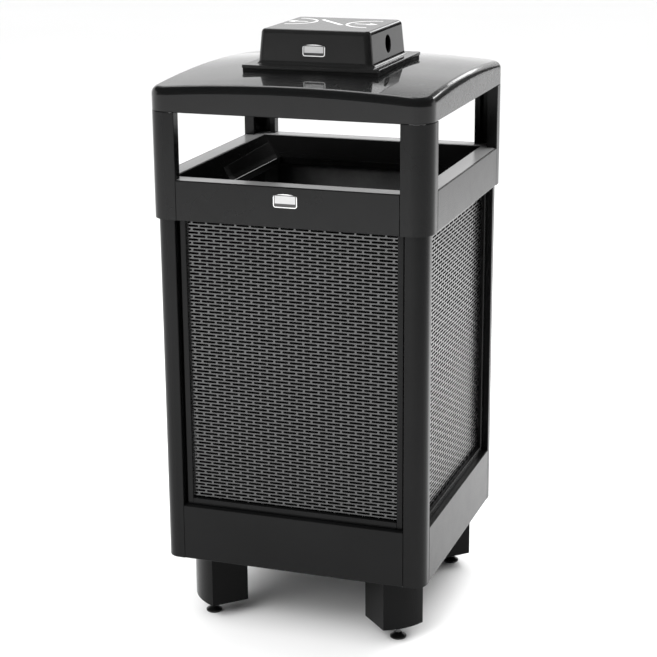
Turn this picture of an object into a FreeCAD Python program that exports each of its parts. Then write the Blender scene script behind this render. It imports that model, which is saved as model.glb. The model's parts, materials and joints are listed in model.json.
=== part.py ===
"""Ashtray bin: a square steel litter bin with perforated side panels, a tilting hood with four windows, and an ash urn.

Frame: millimetres, +Z up, origin on the floor under the middle of the bin.  The front faces -Y and the right side +X.
Pieces that repeat round the square are drawn once, at the front or at the front right corner, and turned about Z.
"""
import FreeCAD
import Part
import Sketcher
import math
import os
import re

DIMENSIONS = {
    # cabinet
    "cabinet_half": 228.6,
    "cabinet_bottom": 120.0,
    "cabinet_top": 730.0,
    "post_width": 35.0,
    "post_radius": 24.0,
    "post_lip": 22.6,
    "post_flange": 14.1,
    "sheet_thick": 2.5,
    "edge_round": 1.6,
    # skirts
    "skirt_height": 96.0,
    "skirt_depth": 20.0,
    "skirt_thick": 2.0,
    "seam_gap": 0.5,
    # framed panels
    "frame_half": 190.0,
    "frame_width": 10.5,
    "frame_recess": 10.0,
    "frame_lip": 7.0,
    "frame_leg": 6.0,
    "frame_bottom": 217.0,
    "panel_thick": 1.5,
    "rivet_radius": 1.6,
    "rivet_head_radius": 3.6,
    "rivet_head_height": 1.8,
    "rivet_low": 262.0,
    "rivet_pitch": 212.0,
    # top rim and floor of the cabinet
    "rim_height": 17.0,
    "hinge_rail_height": 50.0,
    "pan_rise": 2.0,
    "pan_thick": 3.0,
    "pan_rim": 22.0,
    # legs and levelling feet
    "leg_bottom": 26.0,
    "leg_radial": 255.0,
    "leg_width": 75.0,
    "leg_depth": 66.0,
    "leg_bow": 7.0,
    "leg_wall": 3.0,
    "bolt_radius": 4.0,
    "bolt_hole_radius": 4.3,
    "bolt_head_flats": 13.0,
    "bolt_head_height": 5.3,
    "bolt_radial": 205.0,
    "bolt_spread": 20.0,
    "foot_radial": 237.6,
    "foot_radius": 13.8,
    "foot_edge": 3.2,
    "foot_height": 9.0,
    "stem_radius": 4.0,
    "stem_clearance": 0.05,
    "stem_length": 54.0,
    "foot_nut_flats": 13.0,
    "foot_nut_height": 6.5,
    # liner
    "liner_floor": 132.0,
    "liner_top": 728.0,
    "liner_half_top": 196.0,
    "liner_half_bottom": 192.0,
    "liner_wall": 3.5,
    "liner_radius": 22.0,
    "liner_rim": 4.0,
    "liner_rim_height": 14.0,
    "liner_rim_roll": 3.0,
    # hood
    "hood_half": 235.6,
    "hood_bottom": 711.0,
    "sill_height": 777.0,
    "window_top": 887.0,
    "hood_post_width": 48.0,
    "hood_post_radius": 33.0,
    "hood_post_lip": 18.0,
    "hood_post_hook": 9.0,
    "funnel_half": 232.8,
    "funnel_radius": 30.3,
    "funnel_thick": 2.0,
    "sill_inner_half": 204.6,
    "throat_half": 152.0,
    "throat_top": 747.0,
    "throat_bottom": 735.0,
    "throat_round": 2.5,
    "top_frame_height": 18.0,
    "top_frame_depth": 20.0,
    "lid_gap": 1.5,
    "lid_half": 235.6,
    "lid_radius": 33.0,
    "lid_wall": 3.0,
    "lid_apex": 943.0,
    "lid_sphere": 2700.0,
    "lid_edge_round": 13.0,
    "lid_inner_radius": 30.0,
    "lid_inner_edge_round": 10.0,
    # ash urn on the lid
    "gasket_half_x": 115.0,
    "gasket_half_y": 116.5,
    "gasket_depth": 9.0,
    "urn_bottom": 944.0,
    "plate_half": 88.5,
    "plate_thick": 3.0,
    "plate_corner": 4.0,
    "urn_hole_half": 76.0,
    "ash_pan_half": 74.0,
    "ash_pan_depth": 50.0,
    "ash_pan_wall": 1.5,
    "ash_pan_flange": 84.0,
    "urn_screw_inset": 6.0,
    "flange_half_x": 117.0,
    "flange_half_y": 118.5,
    "flange_thick": 5.0,
    "flange_corner": 4.0,
    "cover_half_x": 98.0,
    "cover_half_y": 95.5,
    "cover_top_half_x": 93.0,
    "cover_top_half_y": 92.5,
    "cover_height": 56.0,
    "cover_wall": 3.0,
    "cover_round": 11.0,
    "cover_inner_round": 8.0,
    "cover_top_round": 7.0,
    "cover_foot_round": 6.0,
    "cover_hole_radius": 15.0,
    "cover_hole_height": 27.0,
    # badges
    "badge_thick": 1.2,
    "badge_round": 4.0,
    "badge_crown": 0.14,
    "hood_badge_width": 40.0,
    "hood_badge_height": 22.0,
    "hood_badge_z": 755.0,
    "urn_badge_width": 38.0,
    "urn_badge_height": 19.0,
    "urn_badge_z": 973.0,
    # hinge across the back
    "hinge_y": 234.4,
    "hinge_z": 706.0,
    "hinge_half": 150.0,
    "hinge_barrel": 4.4,
    "hinge_pin_radius": 2.5,
    "hinge_clearance": 0.06,
    "hinge_gap": 0.5,
    "hinge_leaf": 1.9,
    "hinge_leaf_height": 40.0,
    "screw_head_radius": 4.0,
    "screw_head_height": 1.6,
    "screw_gap": 0.1,
    "screw_row": 0.6,
    # how far a cutting tool runs past what it cuts
    "margin": 5.0,
}
HINGE_KNUCKLES = 11          # odd ones belong to the hood, even ones to the cabinet
HINGE_SCREWS = (-125.0, -42.0, 42.0, 125.0)
CABINET_SCREW_HEIGHT = "hinge_z - hinge_leaf_height * screw_row"
HOOD_SCREW_HEIGHT = "hinge_z + hinge_leaf_height * screw_row"

SIDES = (("front", 0.0), ("right", 90.0), ("back", 180.0), ("left", 270.0))
CORNERS = (("front_right", 0.0), ("back_right", 90.0), ("back_left", 180.0), ("front_left", 270.0))
UP = FreeCAD.Vector(0, 0, 1)
POINT_SLACK = 0.1            # mm, between a point and the place that it is looked for
BACKWARDS = FreeCAD.Vector(0, 1, 0)
SIDEWAYS = FreeCAD.Vector(1, 0, 0)

doc = FreeCAD.newDocument("ashtray_bin")
sheet = doc.addObject("Spreadsheet::Sheet", "dims")
nodes = []


# ---------------------------------------------------------------- spreadsheet and small helpers
def fill_sheet():
    """One row for each driving dimension: its name, and its value under that alias."""
    for row, (alias, value) in enumerate(DIMENSIONS.items(), start=1):
        sheet.set(f"A{row}", alias.replace("_", " "))
        sheet.set(f"B{row}", str(value))
        sheet.setAlias(f"B{row}", alias)
    doc.recompute()


def cells(expression):
    """The expression with each dimension's name pointing at its cell."""
    return re.sub(r"[a-z][a-z_]+", lambda m: "dims." + m[0] if m[0] in DIMENSIONS else m[0], str(expression))


def bind(item, prop, expression):
    item.setExpression(prop, cells(expression))


def size(alias):
    """A dimension's value, read from the sheet, or one dimension less another."""
    values = [float(sheet.get(name)) for name in alias.split(" - ")]
    return values[0] - sum(values[1:])


def turned(item, angle):
    """Turns a finished piece about the bin's own axis."""
    item.Placement = FreeCAD.Placement(FreeCAD.Vector(0, 0, 0), FreeCAD.Rotation(UP, angle))
    return item


def node(item, label):
    """Marks a finished piece as a sub-part of the bin."""
    item.Label = label
    if item.Label != label:
        raise SystemExit(f"the name {label} is taken")
    nodes.append(item)
    return item


def group(label, items, angle=0.0):
    """Several separate solids under one name."""
    compound = doc.addObject("Part::Compound", label)
    compound.Links = items
    turned(compound, angle)
    return node(compound, label)


# ---------------------------------------------------------------- Part primitives
def box(name, low, high):
    """A Part::Box between two corners, each coordinate an expression."""
    solid = doc.addObject("Part::Box", name)
    for prop, start, end in zip(("Length", "Width", "Height"), low, high):
        bind(solid, prop, f"({end}) - ({start})")
    for axis, start in zip("xyz", low):
        bind(solid, f"Placement.Base.{axis}", start)
    return solid


def square_box(name, half, low, high):
    return box(name, (f"-({half})", f"-({half})", low), (half, half, high))


def tapered_box(name, low_half, high_half, low, high):
    """A four-sided taper about Z: its half sizes (x, y) at the low and the high level."""
    solid = doc.addObject("Part::Wedge", name)
    for prop, half in (("X", low_half[0]), ("Z", low_half[1]), ("X2", high_half[0]), ("Z2", high_half[1])):
        bind(solid, prop + "min", f"-({half})")
        bind(solid, prop + "max", half)
    bind(solid, "Ymin", "0")
    bind(solid, "Ymax", f"({high}) - ({low})")
    solid.Placement.Rotation = FreeCAD.Rotation(FreeCAD.Vector(1, 0, 0), 90)
    bind(solid, "Placement.Base.z", low)
    return solid


def cylinder(name, centre, radius, length, direction=UP):
    """A Part::Cylinder that starts at centre and runs along direction."""
    solid = doc.addObject("Part::Cylinder", name)
    bind(solid, "Radius", radius)
    bind(solid, "Height", length)
    solid.Placement.Rotation = FreeCAD.Rotation(UP, direction)
    for axis, value in zip("xyz", centre):
        bind(solid, f"Placement.Base.{axis}", value)
    return solid


def hexagon_prism(name, centre, flats, height):
    solid = doc.addObject("Part::Prism", name)
    solid.Polygon = 6
    bind(solid, "Circumradius", f"({flats}) / sqrt(3)")
    bind(solid, "Height", height)
    for axis, value in zip("xyz", centre):
        bind(solid, f"Placement.Base.{axis}", value)
    return solid


def fused(name, *items):
    fuse = doc.addObject("Part::MultiFuse", name)
    fuse.Shapes = list(items)
    fuse.Refine = True
    return fuse


def common(name, *items):
    both = doc.addObject("Part::MultiCommon", name)
    both.Shapes = list(items)
    return both


def cut(name, base, tool):
    rest = doc.addObject("Part::Cut", name)
    rest.Base = base
    rest.Tool = tool
    rest.Refine = True
    return rest


def part_fillet(name, base, radius, chosen):
    """A Part::Fillet on the edges of base that chosen(edge) accepts."""
    doc.recompute()
    rounded = doc.addObject("Part::Fillet", name)
    rounded.Base = base
    picked = [i for i, edge in enumerate(base.Shape.Edges, start=1) if chosen(edge)]
    rounded.Edges = [(i, size(radius), size(radius)) for i in picked]
    return rounded


def is_upright(edge):
    """Accepts straight edges that climb steeply."""
    rise = edge.Vertexes[-1].Point - edge.Vertexes[0].Point
    return edge.Curve.TypeId == "Part::GeomLine" and abs(rise.z) > 0.7 * rise.Length


def level_edges_at(height):
    """Accepts every edge that lies in one level plane."""
    return lambda edge: all(abs(vertex.Point.z - height) < 0.02 for vertex in edge.Vertexes)


# ---------------------------------------------------------------- PartDesign helpers
def new_body(name):
    return doc.addObject("PartDesign::Body", name)


def sketch_on(body, role, offset="0"):
    """An empty sketch on one of the body's own origin planes, moved along its normal."""
    plane = [item for item in body.Origin.OriginFeatures if item.Role == role][0]
    sketch = body.newObject("Sketcher::SketchObject", body.Name + "_sketch")
    sketch.AttachmentSupport = [(plane, "")]
    sketch.MapMode = "FlatFace"
    bind(sketch, "AttachmentOffset.Base.z", offset)
    return sketch


def place_point(sketch, geometry, position, where):
    """Fixes one point of a sketch's geometry at two expressions."""
    for kind, expression in zip(("DistanceX", "DistanceY"), where):
        index = sketch.addConstraint(Sketcher.Constraint(kind, -1, 1, geometry, position, 1.0))
        bind(sketch, f"Constraints[{index}]", expression)


def outline(sketch, points):
    """A closed outline of straight lines through the given points, each coordinate an expression."""
    count = len(points)
    first = sketch.GeometryCount
    for i in range(count):
        turn = 2 * math.pi * i / count
        step = 2 * math.pi * (i + 1) / count
        start = FreeCAD.Vector(math.cos(turn), math.sin(turn), 0)
        end = FreeCAD.Vector(math.cos(step), math.sin(step), 0)
        sketch.addGeometry(Part.LineSegment(start, end), False)
    for i in range(count):
        sketch.addConstraint(Sketcher.Constraint("Coincident", first + i, 2, first + (i + 1) % count, 1))
    for i, where in enumerate(points):
        place_point(sketch, first + i, 1, where)


def rectangle(sketch, left, low, right, high):
    outline(sketch, [(left, low), (right, low), (right, high), (left, high)])


def square(sketch, half):
    rectangle(sketch, f"-({half})", f"-({half})", half, half)


def circle(sketch, where, radius):
    index = sketch.addGeometry(Part.Circle(FreeCAD.Vector(0, 0, 0), UP, 1.0), False)
    place_point(sketch, index, 3, where)
    constraint = sketch.addConstraint(Sketcher.Constraint("Radius", index, 1.0))
    bind(sketch, f"Constraints[{constraint}]", radius)


def pad(body, sketch, length):
    feature = body.newObject("PartDesign::Pad", body.Name + "_pad")
    feature.Profile = sketch
    bind(feature, "Length", length)
    sketch.Visibility = False
    return feature


def pocket(body, sketch, length, flip=False):
    """A pocket of the given depth, which must take material away."""
    doc.recompute()
    before = body.Shape.Volume
    feature = body.newObject("PartDesign::Pocket", body.Name + "_pocket")
    feature.Profile = sketch
    feature.Reversed = flip
    bind(feature, "Length", length)
    doc.recompute()
    if body.Shape.Volume >= before - 1.0:
        raise SystemExit(f"{feature.Name} cuts nothing")
    return feature


def body_fillet(body, radius, chosen):
    """A PartDesign::Fillet on the edges of the body's tip that chosen(edge) accepts."""
    doc.recompute()
    base = body.Tip
    picked = [f"Edge{i}" for i, edge in enumerate(base.Shape.Edges, start=1) if chosen(edge)]
    if not picked:
        raise SystemExit(f"{body.Name}: no edge to round")
    feature = body.newObject("PartDesign::Fillet", body.Name + "_fillet")
    feature.Base = (base, picked)
    bind(feature, "Radius", radius)
    return feature


def bar(name, role, points, start, length):
    """A straight bar: an outline on one of the origin planes, padded along its normal from start."""
    body = new_body(name)
    sketch = sketch_on(body, role, start)
    outline(sketch, points)
    pad(body, sketch, length)
    return body


def edges_along(axis, where, slack=0.05):
    """Accepts edges that run along one axis and pass through the point, given in the other two."""
    others = [k for k in range(3) if k != axis]

    def chosen(edge):
        if len(edge.Vertexes) != 2:
            return False
        first, last = edge.Vertexes[0].Point, edge.Vertexes[1].Point
        if abs(first[axis] - last[axis]) < 1.0:
            return False
        spots = [where] if isinstance(where[0], (int, float)) else where
        for spot in spots:
            near = all(abs(point[k] - value) < slack for point in (first, last) for k, value in zip(others, spot))
            if near:
                return True
        return False

    return chosen


# ---------------------------------------------------------------- cabinet
def corner_post(corner, angle):
    """A folded corner post: a rounded corner, two lips that turn inwards, and the flanges that the panels lie on."""
    outer = "cabinet_half"
    edge = "(cabinet_half - post_width)"
    seat = "(cabinet_half - post_lip)"
    tip = "(cabinet_half - post_width - post_flange + sheet_thick)"
    points = [
        (tip, f"-{seat}"),
        (edge, f"-{seat}"),
        (edge, f"-{outer}"),
        (outer, f"-{outer}"),
        (outer, f"-{edge}"),
        (seat, f"-{edge}"),
        (seat, f"-{tip}"),
        (f"{seat} - sheet_thick", f"-{tip}"),
        (f"{seat} - sheet_thick", f"-({edge} + sheet_thick)"),
        (f"{outer} - sheet_thick", f"-({edge} + sheet_thick)"),
        (f"{outer} - sheet_thick", f"-({outer} - sheet_thick)"),
        (f"{edge} + sheet_thick", f"-({outer} - sheet_thick)"),
        (f"{edge} + sheet_thick", f"-({seat} - sheet_thick)"),
        (tip, f"-({seat} - sheet_thick)"),
    ]
    name = "corner_post_" + corner
    body = bar(name, "XY_Plane", points, "cabinet_bottom", "cabinet_top - cabinet_bottom")
    half, wall, inner = size("cabinet_half"), size("sheet_thick"), size("cabinet_half") - size("post_width")
    body_fillet(body, "post_radius", edges_along(2, (half, -half)))
    body_fillet(body, "post_radius - sheet_thick", edges_along(2, (half - wall, wall - half)))
    body_fillet(body, "edge_round", edges_along(2, [(inner, -half), (half, -inner)]))
    node(turned(body, angle), name)


def skirt(side, angle):
    """The channel-section skirt between two posts at the foot of the cabinet."""
    face = "-cabinet_half"
    back = "(skirt_depth - cabinet_half)"
    low = "cabinet_bottom"
    high = "(cabinet_bottom + skirt_height)"
    points = [
        (face, low),
        (back, low),
        (back, f"{low} + skirt_thick"),
        (f"{face} + skirt_thick", f"{low} + skirt_thick"),
        (f"{face} + skirt_thick", f"{high} - skirt_thick"),
        (back, f"{high} - skirt_thick"),
        (back, high),
        (face, high),
    ]
    name = "skirt_" + side
    half_length = "(cabinet_half - post_width - seam_gap)"
    body = bar(name, "YZ_Plane", points, f"-{half_length}", f"2 * {half_length}")
    front, bottom = -size("cabinet_half"), size("cabinet_bottom")
    top = bottom + size("skirt_height")
    body_fillet(body, "edge_round", edges_along(0, [(front, bottom), (front, top)]))
    node(turned(body, angle), name)


def panel_frame(side, angle):
    """Two stiles and two rails round a perforated sheet: each a lip in front of the sheet and a leg beside it."""
    face = "(frame_recess - cabinet_half)"
    lip_back = "(frame_recess + frame_lip - cabinet_half)"
    leg_back = "(post_lip - cabinet_half)"
    high = "(cabinet_top - sheet_thick)"

    def section(outer, lip_inner, leg_inner):
        return [(outer, face), (lip_inner, face), (lip_inner, lip_back), (leg_inner, lip_back),
                (leg_inner, leg_back), (outer, leg_back)]

    rails = []
    front = size("frame_recess") - size("cabinet_half")
    for hand, sign in (("left", "-"), ("right", "")):
        points = section(f"{sign}frame_half", f"{sign}(frame_half - frame_width)",
                         f"{sign}(frame_half - frame_leg)")
        stile = bar(f"stile_{hand}_{side}", "XY_Plane", points, "frame_bottom", f"{high} - frame_bottom")
        inner = (size("frame_half") - size("frame_width")) * (-1 if sign else 1)
        outer = size("frame_half") * (-1 if sign else 1)
        body_fillet(stile, "edge_round", edges_along(2, [(inner, front), (outer, front)]))
        rails.append(stile)
    for level, low, lip, leg in (("bottom", "frame_bottom", "(frame_bottom + frame_width)",
                                  "(frame_bottom + frame_leg)"),
                                 ("top", high, f"({high} - frame_width)", f"({high} - frame_leg)")):
        points = [(y, z) for z, y in section(low, lip, leg)]
        half_length = "(frame_half - frame_width)"
        rails.append(bar(f"rail_{level}_{side}", "YZ_Plane", points, f"-{half_length}", f"2 * {half_length}"))
    group("panel_frame_" + side, rails, angle)


def perforated_panel(side, angle):
    """The sheet behind its frame's lip.  Its slots are left out here: the sheet stays whole."""
    half = "(frame_half - frame_leg)"
    low = "(frame_bottom + frame_leg)"
    high = "(cabinet_top - sheet_thick - frame_leg)"
    points = [(f"-{half}", low), (half, low), (half, high), (f"-{half}", high)]
    name = "perforated_panel_" + side
    back = "cabinet_half - frame_recess - frame_lip - panel_thick"
    node(turned(bar(name, "XZ_Plane", points, back, "panel_thick"), angle), name)


def panel_rivets():
    """Button rivets through each post's flange into the panel frame: three up each side of each panel."""
    rivets = []
    row_x = "(frame_half - frame_leg / 2)"
    flange_back = "(cabinet_half - post_lip - sheet_thick)"
    for side, angle in SIDES:
        for sign in ("-", ""):
            for step in range(3):
                height = f"rivet_low + {step} * rivet_pitch"
                body = new_body("rivet")
                head = sketch_on(body, "XZ_Plane", f"{flange_back} - rivet_head_height")
                circle(head, (f"{sign}{row_x}", height), "rivet_head_radius")
                pad(body, head, "rivet_head_height")
                body_fillet(body, "rivet_head_height * 0.6", outermost_circle)
                rivets.append(turned(body, angle))
    return group("panel_rivets", rivets)


def outermost_circle(edge):
    """Accepts the round edge of a rivet or screw head that faces the middle of the bin."""
    inner_face = size("post_lip") - size("cabinet_half") + size("sheet_thick")
    return edge.Curve.TypeId == "Part::GeomCircle" and edge.CenterOfMass.y > inner_face + POINT_SLACK


def top_rim():
    """Angle rails between the posts at the top of the front, right and left sides."""
    rails = []
    face = "-cabinet_half"
    high = "cabinet_top"
    points = [
        (face, f"{high} - rim_height"),
        (f"{face} + sheet_thick", f"{high} - rim_height"),
        (f"{face} + sheet_thick", f"{high} - sheet_thick"),
        ("post_lip - cabinet_half", f"{high} - sheet_thick"),
        ("post_lip - cabinet_half", high),
        (face, high),
    ]
    half_length = "(cabinet_half - post_width)"
    for side, angle in SIDES:
        if side != "back":
            rail = bar("rim_" + side, "YZ_Plane", points, f"-{half_length}", f"2 * {half_length}")
            rails.append(turned(rail, angle))
    group("top_rim", rails)


def hinge_rail():
    """The deeper angle rail across the back, which carries the hinge."""
    face = "cabinet_half"
    high = "cabinet_top"
    points = [
        (face, f"{high} - hinge_rail_height"),
        (f"{face} - sheet_thick", f"{high} - hinge_rail_height"),
        (f"{face} - sheet_thick", f"{high} - sheet_thick"),
        ("cabinet_half - post_lip", f"{high} - sheet_thick"),
        ("cabinet_half - post_lip", high),
        (face, high),
    ]
    half_length = "(cabinet_half - post_width)"
    node(bar("hinge_rail", "YZ_Plane", points, f"-{half_length}", f"2 * {half_length}"), "hinge_rail")


def leg_bolt_spots():
    """Where the leg bolts stand, as expressions: two on each diagonal's leg."""
    spots = []
    for _, angle in CORNERS:
        diagonal = angle - 45.0
        for sign in (-1, 1):
            spots.append((
                f"bolt_radial * cos({diagonal}) - ({sign}) * bolt_spread * sin({diagonal})",
                f"bolt_radial * sin({diagonal}) + ({sign}) * bolt_spread * cos({diagonal})",
            ))
    return spots


def base_pan():
    """The floor of the cabinet: a folded tray between the post flanges, with the leg bolts' holes."""
    body = new_body("base_pan")
    half = "(cabinet_half - post_lip - sheet_thick)"
    low = "(cabinet_bottom + pan_rise)"
    plan = sketch_on(body, "XY_Plane", low)
    square(plan, half)
    pad(body, plan, "pan_rim + pan_thick")
    inside = sketch_on(body, "XY_Plane", f"{low} + pan_rim + pan_thick")
    square(inside, f"{half} - pan_thick")
    pocket(body, inside, "pan_rim")
    holes = sketch_on(body, "XY_Plane", f"{low} + pan_thick")
    for spot in leg_bolt_spots():
        circle(holes, spot, "bolt_hole_radius")
    pocket(body, holes, "pan_thick")
    node(body, "base_pan")


# ---------------------------------------------------------------- legs and levelling feet
def bowed_column(name, inset, low, high):
    """A leg's plan, square to X: flat sides, and an outer face that is an arc of the leg's bow."""
    half = f"(leg_width / 2 - {inset})"
    arc = "((leg_width * leg_width / 4 + leg_bow * leg_bow) / (2 * leg_bow))"
    inner = "(leg_radial - leg_depth)"
    block = box(name + "_block", (inner, f"-{half}", low), ("leg_radial + leg_bow", half, high))
    round_face = cylinder(name + "_arc", (f"leg_radial + leg_bow - {arc}", "0", low), f"{arc} - {inset}",
                          f"({high}) - ({low})")
    return common(name, block, round_face)


def leg(corner, angle):
    """A formed steel leg on the diagonal: bowed outer face, flat sides, open towards the middle of the bin."""
    top = "(cabinet_bottom + pan_rise)"
    outside = bowed_column("leg_outside", "0", "leg_bottom", top)
    inside = bowed_column("leg_inside", "leg_wall", "leg_bottom + leg_wall", f"{top} - leg_wall")
    stem_hole = cylinder("leg_stem_hole", ("foot_radial", "0", "leg_bottom - 1"), "stem_radius + stem_clearance",
                         "leg_wall + 2")
    bolt_holes = [cylinder("leg_bolt_hole", ("bolt_radial", f"{sign}bolt_spread", f"{top} - leg_wall - 1"),
                           "bolt_hole_radius", "leg_wall + 2") for sign in ("-", "")]
    tools = fused("leg_openings", inside, stem_hole, *bolt_holes)
    node(turned(cut("leg_" + corner, outside, tools), angle - 45.0), "leg_" + corner)


def leg_bolts():
    """Hexagon bolts down through the tray into each leg's top plate, with their nuts below."""
    solids = []
    floor = "(cabinet_bottom + pan_rise + pan_thick)"
    grip = "(pan_thick + leg_wall)"
    for x, y in leg_bolt_spots():
        head = hexagon_prism("bolt_head", (x, y, floor), "bolt_head_flats", "bolt_head_height")
        shank = cylinder("bolt_shank", (x, y, f"{floor} - {grip} - 9"), "bolt_radius", f"{grip} + 9")
        solids.append(fused("leg_bolt", head, shank))
        nut = hexagon_prism("nut_body", (x, y, f"{floor} - {grip} - foot_nut_height"), "foot_nut_flats",
                            "foot_nut_height")
        bore = cylinder("nut_bore", (x, y, f"{floor} - {grip} - foot_nut_height - 1"),
                        "bolt_radius + stem_clearance", "foot_nut_height + 2")
        solids.append(cut("leg_nut", nut, bore))
    group("leg_bolts", solids)


def foot_nuts():
    """The nut welded inside the bottom of each leg, in which the levelling foot's stem turns."""
    solids = []
    for _, angle in CORNERS:
        body = hexagon_prism("foot_nut_body", ("foot_radial", "0", "leg_bottom + leg_wall"), "foot_nut_flats",
                             "foot_nut_height")
        bore = cylinder("foot_nut_bore", ("foot_radial", "0", "leg_bottom"), "stem_radius + stem_clearance",
                        "leg_wall + foot_nut_height + 1")
        solids.append(turned(cut("foot_nut", body, bore), angle - 45.0))
    group("foot_nuts", solids)


def levelling_foot(corner, angle):
    """A levelling foot: a domed plastic pad on a steel stem."""
    diagonal = math.radians(angle - 45.0)
    across = f"foot_radial * cos({angle - 45.0})"
    along = f"foot_radial * sin({angle - 45.0})"
    stem = cylinder("foot_stem_" + corner, (across, along, "foot_height"), "stem_radius", "stem_length")
    node(stem, "foot_stem_" + corner)
    body = new_body("foot_pad_" + corner)
    section = sketch_on(body, "XZ_Plane")
    outline(section, [
        ("0", "0"),
        ("foot_radius - foot_edge / 3", "0"),
        ("foot_radius", "foot_edge / 3"),
        ("foot_radius", "foot_edge"),
        ("foot_radius * 0.86", "foot_edge + 1.6"),
        ("foot_radius * 0.58", "foot_height - 1.6"),
        ("stem_radius + 2.2", "foot_height"),
        ("0", "foot_height"),
    ])
    spin = body.newObject("PartDesign::Revolution", "foot_turn_" + corner)
    spin.Profile = section
    spin.ReferenceAxis = (section, ["V_Axis"])
    spin.Angle = 360.0
    reach = size("foot_radial")
    body.Placement.Base = FreeCAD.Vector(reach * math.cos(diagonal), reach * math.sin(diagonal), 0)
    node(body, "foot_pad_" + corner)


# ---------------------------------------------------------------- liner
def liner():
    """The rigid liner: a tapered square tub with round corners and a rim that stands outwards."""
    bottom, top = "liner_half_bottom", "liner_half_top"
    tub = tapered_box("liner_tub", (bottom, bottom), (top, top), "liner_floor", "liner_top")
    tub = part_fillet("liner_tub_round", tub, "liner_radius", is_upright)
    rim = square_box("liner_rim_block", "liner_half_top + liner_rim", "liner_top - liner_rim_height", "liner_top")
    rim = part_fillet("liner_rim_round", rim, "liner_radius", is_upright)
    rim = part_fillet("liner_rim_rolled", rim, "liner_rim_roll", level_edges_at(size("liner_top")))
    bottom, top = "liner_half_bottom - liner_wall", "liner_half_top - liner_wall"
    inside = tapered_box("liner_inside", (bottom, bottom), (top, top), "liner_floor + liner_wall", "liner_top + 1")
    inside = part_fillet("liner_inside_round", inside, "liner_radius", is_upright)
    node(cut("liner_shell", fused("liner_outside", tub, rim), inside), "liner")


# ---------------------------------------------------------------- hood
def hood_post(corner, angle):
    """A hood post: a rounded angle over the whole height, with lips and hooks only above the sill."""
    outer = "hood_half"
    edge = "(hood_half - hood_post_width)"
    wall = "sheet_thick"
    name = "hood_post_" + corner
    body = bar(name, "XY_Plane", [
        (edge, f"-{outer}"),
        (outer, f"-{outer}"),
        (outer, f"-{edge}"),
        (f"{outer} - {wall}", f"-{edge}"),
        (f"{outer} - {wall}", f"-({outer} - {wall})"),
        (edge, f"-({outer} - {wall})"),
    ], "hood_bottom", "window_top - lid_gap - hood_bottom")
    half, thick = size("hood_half"), size("sheet_thick")
    inner = half - size("hood_post_width")
    body_fillet(body, "hood_post_radius", edges_along(2, (half, -half)))
    body_fillet(body, "hood_post_radius - sheet_thick", edges_along(2, (half - thick, thick - half)))
    body_fillet(body, "edge_round", edges_along(2, [(inner, -half), (half, -inner)]))
    for hand in ("front", "side"):
        lip = sketch_on(body, "XY_Plane", "sill_height")
        points = [
            (edge, f"-({outer} - {wall})"),
            (f"{edge} + {wall}", f"-({outer} - {wall})"),
            (f"{edge} + {wall}", f"-({outer} - hood_post_lip + {wall})"),
            (f"{edge} + hood_post_hook", f"-({outer} - hood_post_lip + {wall})"),
            (f"{edge} + hood_post_hook", f"-({outer} - hood_post_lip)"),
            (edge, f"-({outer} - hood_post_lip)"),
        ]
        if hand == "side":
            points = [(y[1:], f"-({x})") for x, y in points]
        outline(lip, points)
        pad(body, lip, "window_top - lid_gap - sill_height")
    node(turned(body, angle), name)


def hood_band(side, angle):
    """The band between two hood posts, below the window."""
    half_length = "(hood_half - hood_post_width - seam_gap)"
    points = [(f"-{half_length}", "hood_bottom"), (half_length, "hood_bottom"),
              (half_length, "sill_height"), (f"-{half_length}", "sill_height")]
    name = "hood_band_" + side
    body = bar(name, "XZ_Plane", points, "hood_half - sheet_thick", "sheet_thick")
    face = -size("hood_half")
    body_fillet(body, "edge_round", edges_along(0, [(face, size("hood_bottom")), (face, size("sill_height"))]))
    node(turned(body, angle), name)


def funnel():
    """Level sills inside the bands, slopes down to a square throat, and a short upright lip round the throat."""
    thick = "funnel_thick"
    sill = square_box("sill_block", "funnel_half", f"sill_height - {thick}", "sill_height")
    sill = part_fillet("sill_round", sill, "funnel_radius", is_upright)
    outer_low, outer_high = f"throat_half + {thick}", f"sill_inner_half + {thick}"
    slope = tapered_box("slope_outside", (outer_low, outer_low), (outer_high, outer_high),
                        f"throat_top - {thick}", f"sill_height - {thick}")
    lip = square_box("throat_lip", outer_low, "throat_bottom", f"throat_top - {thick}")
    hollow = tapered_box("slope_inside", ("throat_half", "throat_half"), ("sill_inner_half", "sill_inner_half"),
                         "throat_top", "sill_height")
    throat = square_box("throat_hole", "throat_half", "throat_bottom - 1", "throat_top")
    folded = cut("funnel_folded", fused("funnel_solid", sill, slope, lip), fused("funnel_hollow", hollow, throat))
    at_fold = level_edges_at(size("throat_top"))
    node(part_fillet("funnel_sheet", folded, "throat_round", at_fold), "funnel")


def hood_top_frame():
    """An angle frame on top of the hood posts, inside the lid: it holds the lid a little above the posts."""
    low = "(window_top - lid_gap)"
    high = f"({low} + top_frame_height)"
    outer = "(lid_half - lid_wall)"
    ring = square_box("top_frame_block", outer, low, high)
    ring = part_fillet("top_frame_outside", ring, "lid_inner_radius", is_upright)
    hollow = square_box("top_frame_hollow", f"{outer} - sheet_thick", f"{low} + sheet_thick", f"{high} + margin")
    hollow = part_fillet("top_frame_inside", hollow, "lid_inner_radius - sheet_thick", is_upright)
    opening = square_box("top_frame_opening", f"{outer} - top_frame_depth", f"{low} - margin", f"{high} + margin")
    node(cut("top_frame", ring, fused("top_frame_tools", hollow, opening)), "hood_top_frame")


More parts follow.
